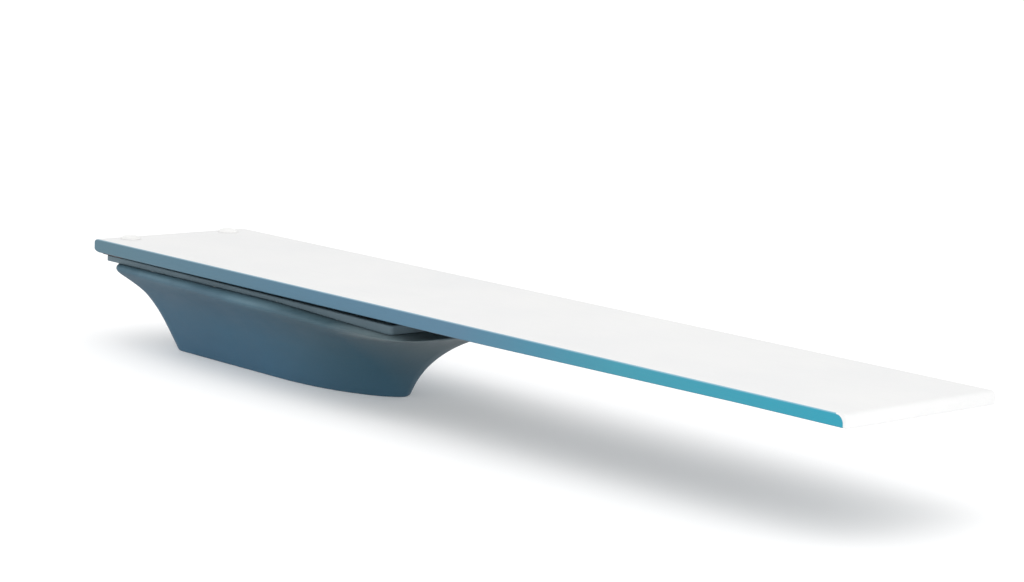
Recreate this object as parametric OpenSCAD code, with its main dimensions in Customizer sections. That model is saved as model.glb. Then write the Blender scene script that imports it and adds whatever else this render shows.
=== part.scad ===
// Residential diving board on a low moulded stand.
// A rigid laminated plank is bolted down at its rear end, rests on a rubber
// fulcrum over the front of the stand and overhangs the water. The stand is a
// flared shell hung around a welded steel frame that bolts to four deck anchors.
// Millimetres. +X runs from the rear edge to the tip, +Y across, +Z up.
// The origin is on the deck, in the middle of the anchor bolt pattern.

/* [Board] */
// Length of the board from rear edge to tip
board_len = 2438.4; // [2130:0.1:3050]
// Width of the board
board_w = 457.2; // [450:0.1:500]
// Thickness of the board over the stand
board_t = 34.5; // [32:0.5:38]
// How much thinner the board is at the tip
tip_taper = 6.5; // [4:0.5:8]
// Thickness of the moulded skins around the core
skin_t = 3; // [2:0.5:3.5]
// Radius along the top edge of the tip
tip_r = 15; // [10:1:16]
// Height of the board's top above the deck
board_top = 260; // [255:1:270]

/* [Rear fixing] */
// Distance from the rear edge to the two bolts
bolt_in = 51; // [48:1:56]
// Spacing of the two bolts across the board
bolt_span = 304.8; // [290:0.1:310]
// Diameter of the bolt shanks
bolt_d = 15.88; // [14:0.01:16]
// Diameter of the bolt holes through board, platform and beam
bolt_hole_d = 18.8; // [18:0.1:19.6]
// Diameter of the round caps over the bolt heads
cap_d = 51; // [48:1:56]
// Thickness of the rubber pad under the rear of the board
rear_pad_t = 6; // [5:0.5:7]

/* [Fulcrum] */
// Position of the fulcrum, measured from the rear edge
fulcrum_in = 1010; // [1000:1:1020]
// Height of the rubber fulcrum
fulcrum_h = 37; // [36:0.5:37]
// Width of the rubber fulcrum
fulcrum_w = 48; // [40:1:48]

/* [Platform] */
// Half-width of the platform
plat_hw = 206; // [204:0.5:206.5]
// Radius of the platform's corners
plat_r = 11; // [8:1:24]
// Gap between board and platform at the front edge
front_gap = 12.5; // [12:0.5:13]

/* [Stand shell] */
// Half-width of the shell where it meets the deck
base_hw = 120.5; // [120:0.5:126]
// Rear end of the shell at the deck, behind the origin
base_rear = 382; // [378:1:388]
// Nose of the shell at the deck, in front of the origin
nose_x = 368; // [364:1:374]
// Front edge of the shell's lip, in front of the origin
lip_x = 620; // [612:1:630]
// Vertical wall thickness of the shell
shell_t = 5; // [4:0.5:5.5]

/* [Deck anchors] */
// Spacing of the anchor holes along the stand
anchor_x = 457.2; // [456:0.1:460]
// Spacing of the anchor holes across the stand
anchor_y = 127; // [120:0.1:130]
// Diameter of the anchor holes
anchor_d = 17.5; // [16:0.5:18]

/* [Hidden] */

eps = 1;
x0 = -575;                         // rear edge of the board
x1 = x0 + board_len;               // tip of the board
zb = board_top - board_t;          // underside of the board over the stand
bx = x0 + bolt_in;                 // bolt axis
by = bolt_span / 2;
fx = x0 + fulcrum_in;              // fulcrum line
zpr = zb - rear_pad_t;             // platform top under the rear pad
zpf = zb - front_gap;              // platform top at its front edge
zpu = zb - 21;                     // flat underside of the platform
plat_x0 = -553;
plat_x1 = 541;
rail_h = 50;                       // depth of the side rails
rail_w = 50;
rail_y = 70;                       // distance of the rails from the centre line
rail_x1 = fx - 33;
zrb = zpu - rail_h;                // underside of the rails
zcf = zb - fulcrum_h;              // floor of the fulcrum channel
foot_t = 9.5;
leg_x = 185;

// Level of the shell's ledge along the stand; it dips towards the front.
function ledge(x) = zpu - lookup(x, [[125, 0], [295, 5.5], [435, 10.5], [525, 13], [700, 13]]);
// Top surface of the platform.
function ptop(x) = zpr - (zpr - zpf) * max(0, x + 478) / (plat_x1 + 478);
function oval(cx, cz, rx, rz, a0, a1, n) =
    [for (k = [0:n]) let (a = a0 + (a1 - a0) * k / n) [cx + rx * cos(a), cz + rz * sin(a)]];
function arc(cx, cz, r, a0, a1, n) =
    [for (k = [0:n]) let (a = a0 + (a1 - a0) * k / n) [cx + r * cos(a), cz + r * sin(a)]];

// ---------------------------------------------------------------- board
// Length and height of the quarter ovals that make the bullnosed rear.
nose_l = 24; nose_h = 12.5;
// Side view of the board, inset by i: bullnosed rear, tapered underside, rounded tip.
function side_profile(i) = concat(
    oval(x0 + nose_l, zb + nose_h, nose_l - i, nose_h - i, 180, 270, 7),
    [[855, zb + i], [1585, zb + tip_taper + i]],
    arc(x1 - 4, zb + tip_taper + 4, 4 - i, 270, 360, 3),
    arc(x1 - tip_r, board_top - tip_r, tip_r - i, 0, 90, 6),
    oval(x0 + nose_l, board_top - nose_h, nose_l - i, nose_h - i, 90, 180, 7));
// Plan view of the board, inset by i, with small corner radii.
function plan_profile(i) = let (w = board_w / 2, r1 = 8, r0 = 6) concat(
    arc(x1 - r1, -w + r1, r1 - i, 270, 360, 4),
    arc(x1 - r1, w - r1, r1 - i, 0, 90, 4),
    arc(x0 + r0, w - r0, r0 - i, 90, 180, 4),
    arc(x0 + r0, -w + r0, r0 - i, 180, 270, 4));

module across(w) { rotate([90, 0, 0]) linear_extrude(w, center = true) children(); }
module board_form(i) {
    intersection() {
        across(board_w - 2 * i) polygon(side_profile(i));
        translate([0, 0, zb - 10]) linear_extrude(board_t + 20) polygon(plan_profile(i));
    }
}
module box(a, b) { translate(a) cube(b - a); }
module at_bolts() { for (s = [-1, 1]) translate([bx, s * by, 0]) children(); }
module bolt_holes(d) { at_bolts() translate([0, 0, 150]) cylinder(h = 200, r = d / 2, $fn = 48); }
module counterbores() { at_bolts() translate([0, 0, board_top - 12]) cylinder(h = 20, r = 22, $fn = 64); }

zs = board_top - skin_t;           // lower side of the tread skin
xs = x1 - 12;                      // rear side of the tip wrap
xr = x0 + nose_l;                  // front side of the rear skin
hw = board_w / 2;

module board_core() { color("burlywood") difference() {
    board_form(skin_t);
    bolt_holes(bolt_hole_d);
    counterbores();
} }
module tread_skin() { color([0.95, 0.95, 0.95]) difference() {
    intersection() {
        board_form(0);
        union() {
            box([x0 - 5, -hw - 5, zs], [x1 + 5, hw + 5, board_top + 5]);
            box([xs, -hw - 5, zb - 5], [x1 + 5, hw + 5, board_top + 5]);
        }
    }
    board_form(skin_t);
    counterbores();
} }
module side_skin(s) { intersection() {
    board_form(0);
    box([xr, s > 0 ? hw - skin_t : -hw - 5, zb - 5], [xs, s > 0 ? hw + 5 : -hw + skin_t, zs]);
} }
module side_skin_left() { color([0.36, 0.58, 0.67]) side_skin(1); }
module side_skin_right() { color([0.36, 0.58, 0.67]) side_skin(-1); }
module rear_skin() { color([0.40, 0.54, 0.61]) difference() {
    intersection() {
        board_form(0);
        box([x0 - 5, -hw - 5, zb - 5], [xr, hw + 5, zs]);
    }
    board_form(skin_t);
} }
module bottom_skin() { color([0.85, 0.86, 0.86]) difference() {
    intersection() {
        board_form(0);
        box([xr, -hw + skin_t, zb - 5], [xs, hw - skin_t, zb + board_t / 2]);
    }
    board_form(skin_t);
    bolt_holes(bolt_hole_d);
} }

// ---------------------------------------------------------- rear fixing
zhd = board_top - 6;               // underside of the bolt heads
module mounting_bolts() { color("silver") at_bolts() union() {
    translate([0, 0, zhd - 74]) cylinder(h = 74, r = bolt_d / 2, $fn = 48);
    translate([0, 0, zhd]) cylinder(h = 9.5, r = 12 / cos(30), $fn = 6);
} }
module bolt_caps() { color("white") at_bolts() rotate_extrude($fn = 72) polygon(concat(
    [for (k = [0:6]) let (a = 90 - 15 * k) [cap_d / 2 * cos(a), board_top + 1.5 + 7.5 * sin(a)]],
    [[cap_d / 2, board_top], [21.5, board_top], [21.5, board_top - 4], [19.6, board_top - 4]],
    [for (k = [0:5]) let (a = 18 * k) [19.6 * cos(a), board_top + 6.2 * sin(a)]])); }
module cup_washers() { color("silver") at_bolts() rotate_extrude($fn = 64) polygon(
    [[8.4, zhd - 3], [17, zhd - 3], [19.5, zhd - 1.5], [19.5, zhd], [8.4, zhd]]); }
module rubber_washers() { color([0.15, 0.15, 0.16]) at_bolts() translate([0, 0, zhd - 6]) difference() {
    cylinder(h = 3, r = 21, $fn = 64);
    translate([0, 0, -eps]) cylinder(h = 5, r = 8.4, $fn = 48);
} }
module plate_washers() { color("silver") at_bolts() translate([0, 0, zpu - 11.5]) difference() {
    cylinder(h = 2.5, r = 18, $fn = 64);
    translate([0, 0, -eps]) cylinder(h = 5, r = 8.4, $fn = 48);
} }
module lock_nuts() { color("silver") at_bolts() translate([0, 0, zpu - 20.5]) difference() {
    cylinder(h = 9, r = 12 / cos(30), $fn = 6);
    translate([0, 0, -eps]) cylinder(h = 11, r = bolt_d / 2 + 0.05, $fn = 48);
} }
module rear_pad() { color([0.25, 0.16, 0.15]) difference() {
    box([plat_x0 - 10, -208, zpr], [plat_x0 + 70, 208, zb]);
    bolt_holes(bolt_hole_d);
} }
module lower_bushings() { color([0.15, 0.15, 0.16]) at_bolts() translate([0, 0, zpu - 9]) difference() {
    cylinder(h = 4, r = 18, $fn = 64);
    translate([0, 0, -eps]) cylinder(h = 6, r = bolt_hole_d / 2, $fn = 48);
} }

// -------------------------------------------------------------- fulcrum
module fulcrum_pad() { color([0.12, 0.12, 0.13]) translate([fx, 0, 0]) across(368) union() {
    r = 17;
    translate([-fulcrum_w / 2, zcf]) square([fulcrum_w, fulcrum_h - r]);
    translate([-fulcrum_w / 2 + r, zcf]) square([fulcrum_w - 2 * r, fulcrum_h]);
    for (s = [-1, 1]) translate([s * (fulcrum_w / 2 - r), zb - r]) circle(r, $fn = 64);
} }
module fulcrum_channel() { color([0.30, 0.33, 0.36]) difference() {
    box([fx - 30, -186, zcf - 4], [fx + 30, 186, zpu + 0.5]);
    box([fx - 26, -190, zcf], [fx + 26, 190, zpu + 5]);
} }

// ------------------------------------------------------------- platform
module rounded_plan(ax, bx_, w, r) {
    union() {
        translate([ax + r, -w]) square([bx_ - ax - 2 * r, 2 * w]);
        translate([ax, -w + r]) square([bx_ - ax, 2 * w - 2 * r]);
        for (x = [ax + r, bx_ - r], y = [-w + r, w - r]) translate([x, y]) circle(r, $fn = 64);
    }
}
module platform() { color([0.37, 0.43, 0.47]) difference() {
    intersection() {
        translate([0, 0, zpu - 30]) linear_extrude(60) rounded_plan(plat_x0, plat_x1, plat_hw, plat_r);
        across(440) polygon([[plat_x0, zpr], [plat_x0, zpu], [125, zpu], [295, ledge(295)],
            [435, ledge(435)], [525, ledge(525)], [plat_x1, ledge(525)], [plat_x1, zpf], [-478, zpr]]);
    }
    box([100, -192, zpu - 40], [plat_x1 - 14, 192, zpu]);
    box([fx - 33, -189, zpu - 5], [fx + 33, 189, zb + 5]);
    bolt_holes(bolt_hole_d);
    for (x = [-380, 100, 380], s = [-1, 1]) translate([x, s * rail_y, 0]) {
        translate([0, 0, zpu - eps]) cylinder(h = 20, r = 3.2, $fn = 32);
        translate([0, 0, ptop(x) - 5.5]) cylinder(h = 20, r = 7, $fn = 32);
    }
    for (x = [-360, -110, 130, 350], s = [-1, 1])
        translate([x, s * 200, ledge(x) - 5]) cylinder(h = 13.2, r = 3.05, $fn = 32);
} }
module platform_screws() { color("silver") for (x = [-380, 100, 380], s = [-1, 1])
    translate([x, s * rail_y, 0]) union() {
        translate([0, 0, ptop(x) - 5.5]) cylinder(h = 3.5, r = 6, $fn = 32);
        translate([0, 0, zpu - 9]) cylinder(h = ptop(x) - 4 - zpu + 9, r = 3, $fn = 32);
    }
}

// ---------------------------------------------------------- stand shell
// Flare of the shell's sides and rear from the deck (0) to the lip (1).
function flare(u) = 0.64 * u + 0.36 * pow(max(0, u), 4);
// Reach of the bow: slow at the deck, fast under the lip.
function reach(u) = 0.26 * u + 0.74 * pow(max(0, u), 2.5);
// How square the bow's plan is: pointed low down, nearly square at the lip.
function square_up(u) = pow(max(0, u), 20);
// How far the widest line of the lip lies below the ledge.
function lip_drop(x) = lookup(x, [[125, 14], [435, 8], [560, 5]]);
function lip_z(x) = ledge(x) - lip_drop(x);
function ease(t) = let (c = min(1, max(0, t))) c * c * (3 - 2 * c);
// An outline is [rear x, rear corner radius, half-width rear, half-width front,
// start of the bow, front x, bow exponent along, bow exponent across].
function wall(u, i = 0) = let (g = flare(u)) [-base_rear - 115 * g + i, 45 + 15 * g - 30 * ease((u - 0.72) / 0.28) - i,
    base_hw + (230 - base_hw) * g - i, base_hw + (252 - base_hw) * g - i, 48 + 267 * u,
    nose_x + (lip_x - nose_x) * reach(u) - i, 2.05 + 3.95 * square_up(u), 1.6 + 4.4 * square_up(u)];
groove_line = [-498, 10, plat_hw + 1.5, plat_hw + 1.5, 315, plat_x1 + 1.5, 30, 30];
under_line = [-496, 8, plat_hw - 2, plat_hw - 2, 315, plat_x1 - 2, 30, 30];
inner_line = [-476, 8, 190, 190, 315, plat_x1 - 14, 30, 30];
function mix(a, b, s) = [for (i = [0:7]) a[i] * (1 - s) + b[i] * s];
K1 = 6; K2 = 9; K3 = 13;
function half_w(o, x) = o[2] + (o[3] - o[2]) * ease((x + 440) / 500);
function half_ring(o) = let (yr = half_w(o, o[0] + o[1]) - o[1], xa = o[0] + o[1])
    concat(
        [for (t = [0, 0.5]) [o[0], t * yr]],
        [for (k = [0:K1]) let (p = 90 * k / K1, x = xa - o[1] * cos(p))
            [x, yr + (half_w(o, x) - yr) * sin(p)]],
        [for (k = [1:K2 - 1]) let (x = xa + (o[4] - xa) * k / K2) [x, half_w(o, x)]],
        [for (k = [0:K3]) let (p = 90 * k / K3, x = o[4] + (o[5] - o[4]) * pow(sin(p), 2 / o[6]))
            [x, half_w(o, x) * pow(cos(p), 2 / o[7])]]);
HN = K1 + K2 + K3 + 3;
function ring(o) = let (h = half_ring(o))
    concat(h, [for (i = [HN - 2:-1:1]) [h[i][0], -h[i][1]]]);
RN = 2 * HN - 2;
function lift(o, a, b, c) = [for (p = ring(o)) [p[0], p[1], a * lip_z(p[0]) + b * ledge(p[0]) + c]];
function inner_wall(u) = wall(u - shell_t / 190, 3);
shell_rings = concat(
    [for (u = [0, 0.12, 0.26, 0.4, 0.53, 0.65, 0.75, 0.84, 0.91, 0.96, 1]) lift(wall(u), u, 0, 0)],
    [for (a = [25, 48, 70, 90]) lift(mix(wall(1), groove_line, 1 - cos(a)), 1 - sin(a), sin(a), -0.5 * sin(a))],
    [lift(under_line, 0, 1, -0.9), lift(inner_line, 0, 1, -0.9), lift(inner_line, 0, 1, -5),
        lift(mix(inner_wall(1), groove_line, 0.4), 0, 1, -5)],
    [for (u = [1, 0.94, 0.87, 0.78, 0.66, 0.5, 0.3, 0.14]) lift(inner_wall(u), u, 0, 0)],
    [[for (p = ring(inner_wall(0))) [p[0], p[1], 0]]]);
SN = len(shell_rings);
module shell_body() {
    polyhedron(
        points = [for (r = shell_rings, p = r) p],
        faces = [for (j = [0:SN - 1], i = [0:RN - 1]) let (j2 = (j + 1) % SN, i2 = (i + 1) % RN,
            a = j * RN + i, b = j * RN + i2, c = j2 * RN + i2, d = j2 * RN + i, k = [0, 1])
            each [[a, b, c], [a, c, d]]]);
}
module stand_shell() { color([0.30, 0.42, 0.49]) difference() {
    shell_body();
    for (s = [-1, 1]) translate([-475, s * rail_y, zpu - 11]) cube([80, rail_w + 2, 24], center = true);
    for (x = [-360, -110, 130, 350], s = [-1, 1])
        translate([x, s * 200, zpu - 40]) cylinder(h = 60, r = 3.5, $fn = 16);
} }
function bracket_top(x) = ledge(x + 20) - 5.6;
module clamp_screws() { color("silver") for (x = [-360, -110, 130, 350], s = [-1, 1])
    translate([x, s * 200, 0]) union() {
        translate([0, 0, bracket_top(x) - 10]) cylinder(h = 4, r = 5.77, $fn = 6);
        translate([0, 0, bracket_top(x) - 6]) cylinder(h = ledge(x) + 8 - bracket_top(x) + 6, r = 3, $fn = 32);
    }
}
module shell_brackets() { color([0.28, 0.30, 0.33]) for (x = [-360, -110, 130, 350], s = [-1, 1])
    difference() {
        translate([x - 20, s > 0 ? rail_y + rail_w / 2 : -208, bracket_top(x) - 6])
            cube([40, 208 - rail_y - rail_w / 2, 6]);
        translate([x, s * 200, zpu - 40]) cylinder(h = 60, r = 3.2, $fn = 32);
    }
}

// ---------------------------------------------------------- steel frame
// Side rail: a fabricated box, deep between the legs and shallow at its tail.
module rail(s) { translate([0, s * rail_y, 0]) difference() {
    across(rail_w) polygon([[-499, zpu - 20.5], [-455, zpu - 20.5], [-425, zrb], [rail_x1, zrb], [rail_x1, zpu], [-499, zpu]]);
    across(rail_w - 6) polygon([[-510, zpu - 17.5], [-453.5, zpu - 17.5], [-423.5, zrb + 3], [rail_x1 + 10, zrb + 3],
        [rail_x1 + 10, zpu - 3], [-510, zpu - 3]]);
    for (x = [-380, 100, 380]) translate([x, 0, zpu - 10]) cylinder(h = 20, r = 3.2, $fn = 32);
} }
module left_rail() { color([0.28, 0.30, 0.33]) rail(1); }
module right_rail() { color([0.28, 0.30, 0.33]) rail(-1); }
module rear_beam() { color([0.28, 0.30, 0.33]) difference() {
    box([bx - 25, -170, zpu - 20.5], [bx + 25, 170, zpu]);
    box([bx - 20, -175, zpu - 30], [bx + 20, 175, zpu - 5]);
    bolt_holes(bolt_hole_d);
} }
module fulcrum_beam() { color([0.28, 0.30, 0.33]) difference() {
    box([fx - 33, -100, zrb], [fx + 35, 100, zcf - 4]);
    box([fx - 29, -105, zrb + 4], [fx + 31, 105, zcf - 8]);
} }
module leg(x, s) { difference() {
    box([x - 25, s * rail_y - 25, foot_t], [x + 25, s * rail_y + 25, zrb]);
    box([x - 22, s * rail_y - 22, foot_t - eps], [x + 22, s * rail_y + 22, zrb + eps]);
} }
module rear_legs() { color([0.28, 0.30, 0.33]) for (s = [-1, 1]) leg(-leg_x, s); }
module front_legs() { color([0.28, 0.30, 0.33]) for (s = [-1, 1]) leg(leg_x, s); }
module anchor_holes() { for (x = [-1, 1], y = [-1, 1])
    translate([x * anchor_x / 2, y * anchor_y / 2, -eps]) cylinder(h = foot_t + 2 * eps, r = anchor_d / 2, $fn = 48); }
module rear_foot_plate() { color([0.28, 0.30, 0.33]) difference() {
    box([-262, -100, 0], [-140, 100, foot_t]);
    anchor_holes();
} }
module front_foot_plate() { color([0.28, 0.30, 0.33]) difference() {
    linear_extrude(foot_t) polygon([[140, -100], [200, -95], [257, -77], [257, 77], [200, 95], [140, 100]]);
    anchor_holes();
} }
// Diagonal flat bars from the legs out to the rails.
module brace(s, m) { translate([0, s * rail_y, 0]) across(10)
    polygon([for (p = [[leg_x + 25, 60], [380, zrb], [320, zrb], [leg_x + 25, 100]]) [m * p[0], p[1]]]); }
module rear_braces() { color([0.28, 0.30, 0.33]) for (s = [-1, 1]) brace(s, -1); }
module front_braces() { color([0.28, 0.30, 0.33]) for (s = [-1, 1]) brace(s, 1); }
module leg_ties() { color([0.28, 0.30, 0.33]) for (m = [-1, 1])
    box([m * leg_x - 4, -rail_y + 25, 95], [m * leg_x + 4, rail_y - 25, 135]); }
module foot_gussets() { color([0.28, 0.30, 0.33]) for (m = [-1, 1], s = [-1, 1])
    translate([m * leg_x - 3, 0, 0]) rotate([90, 0, 90]) linear_extrude(6)
        polygon([[s * 45, foot_t], [s * 10, foot_t], [s * 45, 60]]); }

board_core();
tread_skin();
side_skin_left();
side_skin_right();
rear_skin();
bottom_skin();
mounting_bolts();
bolt_caps();
cup_washers();
rubber_washers();
plate_washers();
lock_nuts();
rear_pad();
lower_bushings();
fulcrum_pad();
fulcrum_channel();
platform();
platform_screws();
stand_shell();
clamp_screws();
shell_brackets();
left_rail();
right_rail();
rear_beam();
fulcrum_beam();
rear_legs();
front_legs();
rear_foot_plate();
front_foot_plate();
rear_braces();
front_braces();
leg_ties();
foot_gussets();
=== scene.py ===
import math
import bpy
import bmesh
import numpy as np
from mathutils import Matrix, Vector


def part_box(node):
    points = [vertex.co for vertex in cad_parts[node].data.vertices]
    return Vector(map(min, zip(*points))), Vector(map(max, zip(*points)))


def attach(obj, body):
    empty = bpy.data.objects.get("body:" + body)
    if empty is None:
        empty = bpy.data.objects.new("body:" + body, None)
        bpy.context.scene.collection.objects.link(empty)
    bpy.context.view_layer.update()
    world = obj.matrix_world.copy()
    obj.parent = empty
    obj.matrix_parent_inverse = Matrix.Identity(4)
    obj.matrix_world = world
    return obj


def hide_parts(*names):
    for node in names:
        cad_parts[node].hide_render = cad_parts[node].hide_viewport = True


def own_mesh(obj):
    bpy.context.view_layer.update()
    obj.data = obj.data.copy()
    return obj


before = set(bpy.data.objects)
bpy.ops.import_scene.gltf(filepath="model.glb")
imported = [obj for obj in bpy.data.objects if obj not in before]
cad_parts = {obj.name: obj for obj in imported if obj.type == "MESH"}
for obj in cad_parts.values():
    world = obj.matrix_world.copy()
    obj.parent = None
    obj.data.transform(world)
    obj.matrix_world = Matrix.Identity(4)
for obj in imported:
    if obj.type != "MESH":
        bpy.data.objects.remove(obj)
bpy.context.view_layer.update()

MM = 0.001

# ------------------------------------------------------------------ materials
def new_material(name, color, rough, metallic=0.0, spec=0.5, coat=0.0, coat_rough=0.2):
    m = bpy.data.materials.new(name)
    m.use_nodes = True
    nt = m.node_tree
    b = nt.nodes["Principled BSDF"]
    b.inputs["Base Color"].default_value = (*color, 1)
    b.inputs["Roughness"].default_value = rough
    b.inputs["Metallic"].default_value = metallic
    b.inputs["Specular IOR Level"].default_value = spec
    b.inputs["Coat Weight"].default_value = coat
    b.inputs["Coat Roughness"].default_value = coat_rough
    return m, nt, b


def coords(nt, scale=(1, 1, 1)):
    tc = nt.nodes.new("ShaderNodeTexCoord")
    mp = nt.nodes.new("ShaderNodeMapping")
    mp.inputs["Scale"].default_value = scale
    nt.links.new(tc.outputs["Object"], mp.inputs["Vector"])
    return mp.outputs["Vector"]


def noise(nt, vec, scale, detail=3.0, rough=0.55, distortion=0.0):
    n = nt.nodes.new("ShaderNodeTexNoise")
    n.inputs["Scale"].default_value = scale
    n.inputs["Detail"].default_value = detail
    n.inputs["Roughness"].default_value = rough
    n.inputs["Distortion"].default_value = distortion
    nt.links.new(vec, n.inputs["Vector"])
    return n.outputs["Fac"]


def voronoi(nt, vec, scale, feature="F1"):
    n = nt.nodes.new("ShaderNodeTexVoronoi")
    n.feature = feature
    n.inputs["Scale"].default_value = scale
    nt.links.new(vec, n.inputs["Vector"])
    return n.outputs["Distance"]


def ramp(nt, fac, stops, interp="LINEAR"):
    r = nt.nodes.new("ShaderNodeValToRGB")
    r.color_ramp.interpolation = interp
    els = r.color_ramp.elements
    while len(els) > 1:
        els.remove(els[-1])
    els[0].position = stops[0][0]
    els[0].color = (*stops[0][1], 1)
    for pos, col in stops[1:]:
        e = els.new(pos)
        e.color = (*col, 1)
    nt.links.new(fac, r.inputs["Fac"])
    return r.outputs["Color"]


def remap(nt, fac, a, b, c, d):
    n = nt.nodes.new("ShaderNodeMapRange")
    n.inputs["From Min"].default_value = a
    n.inputs["From Max"].default_value = b
    n.inputs["To Min"].default_value = c
    n.inputs["To Max"].default_value = d
    nt.links.new(fac, n.inputs["Value"])
    return n.outputs["Result"]


def mix_color(nt, fac, a, b, mode="MIX"):
    n = nt.nodes.new("ShaderNodeMix")
    n.data_type = "RGBA"
    n.blend_type = mode
    for sock, v in ((n.inputs[0], fac), (n.inputs[6], a), (n.inputs[7], b)):
        if isinstance(v, (int, float)):
            sock.default_value = v
        elif isinstance(v, tuple):
            sock.default_value = (*v, 1) if len(v) == 3 else v
        else:
            nt.links.new(v, sock)
    return n.outputs[2]


def math_node(nt, op, a, b=None):
    n = nt.nodes.new("ShaderNodeMath")
    n.operation = op
    for i, v in enumerate((a, b)):
        if v is None:
            continue
        if isinstance(v, (int, float)):
            n.inputs[i].default_value = v
        else:
            nt.links.new(v, n.inputs[i])
    return n.outputs[0]


def bump(nt, b, height, strength, distance, normal=None):
    n = nt.nodes.new("ShaderNodeBump")
    n.inputs["Strength"].default_value = strength
    n.inputs["Distance"].default_value = distance
    nt.links.new(height, n.inputs["Height"])
    if normal is not None:
        nt.links.new(normal, n.inputs["Normal"])
    nt.links.new(n.outputs["Normal"], b.inputs["Normal"])
    return n.outputs["Normal"]


def separate(nt, vec):
    n = nt.nodes.new("ShaderNodeSeparateXYZ")
    nt.links.new(vec, n.inputs[0])
    return n.outputs


def mat_tread():
    # white acrylic skin with a fine sanded, slightly glittery tread and faint scuffs
    m, nt, b = new_material("tread_white", (0.90, 0.90, 0.895), 0.5, spec=0.42)
    v = coords(nt)
    grit = voronoi(nt, v, 620)
    fine = noise(nt, v, 900, 2)
    broad = noise(nt, v, 3.5, 4, 0.6)
    streak = noise(nt, coords(nt, (1.2, 26, 8)), 5, 5, 0.65)
    c = ramp(nt, broad, [(0.3, (0.685, 0.688, 0.690)), (0.6, (0.715, 0.715, 0.712)), (0.8, (0.730, 0.730, 0.724))])
    c = mix_color(nt, math_node(nt, "MULTIPLY", remap(nt, streak, 0.56, 0.74, 0, 1), 0.20), c, (0.62, 0.63, 0.62))
    c = mix_color(nt, math_node(nt, "MULTIPLY", remap(nt, grit, 0.0, 0.35, 1, 0), 0.16), c, (0.60, 0.61, 0.61))
    nt.links.new(c, b.inputs["Base Color"])
    nt.links.new(remap(nt, math_node(nt, "ADD", broad, fine), 0.6, 1.4, 0.44, 0.66), b.inputs["Roughness"])
    h = math_node(nt, "ADD", remap(nt, grit, 0, 0.6, 1, 0), math_node(nt, "MULTIPLY", fine, 0.5))
    bump(nt, b, h, 0.28, 0.0006)
    return m


def mat_side():
    # coloured laminate edge: slate blue at the rear, brighter teal towards the tip, fine glass-fibre print-through
    m, nt, b = new_material("side_blue", (0.07, 0.20, 0.28), 0.40, spec=0.30, coat=0.08, coat_rough=0.15)
    v = coords(nt)
    x = separate(nt, v)[0]
    warp = noise(nt, v, 2.2, 3)
    t = math_node(nt, "ADD", x, math_node(nt, "MULTIPLY", math_node(nt, "SUBTRACT", warp, 0.5), 0.22))
    c = ramp(nt, remap(nt, t, -0.58, 1.87, 0, 1), [((q + 0.58) / 2.45, col) for q, col in SIDE_STOPS])
    fib = noise(nt, coords(nt, (6, 60, 160)), 6, 4, 0.6)
    c = mix_color(nt, math_node(nt, "MULTIPLY", remap(nt, fib, 0.40, 0.75, 0, 1), 0.10), c, (0.12, 0.30, 0.40))
    # painted highlight: a pale band along the rounded upper edge, where the colour meets the white skin
    painted_edge_highlight = remap(nt, math_node(nt, "ADD", separate(nt, v)[2], math_node(nt, "MULTIPLY", warp, 0.0008)), 0.2562, 0.2594, 0, 0.72)
    c = mix_color(nt, painted_edge_highlight, c, (0.42, 0.58, 0.66))
    nt.links.new(c, b.inputs["Base Color"])
    nt.links.new(remap(nt, fib, 0.3, 0.7, 0.28, 0.42), b.inputs["Roughness"])
    bump(nt, b, math_node(nt, "ADD", fib, math_node(nt, "MULTIPLY", noise(nt, v, 240, 2), 0.35)), 0.12, 0.0008)
    return m


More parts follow.
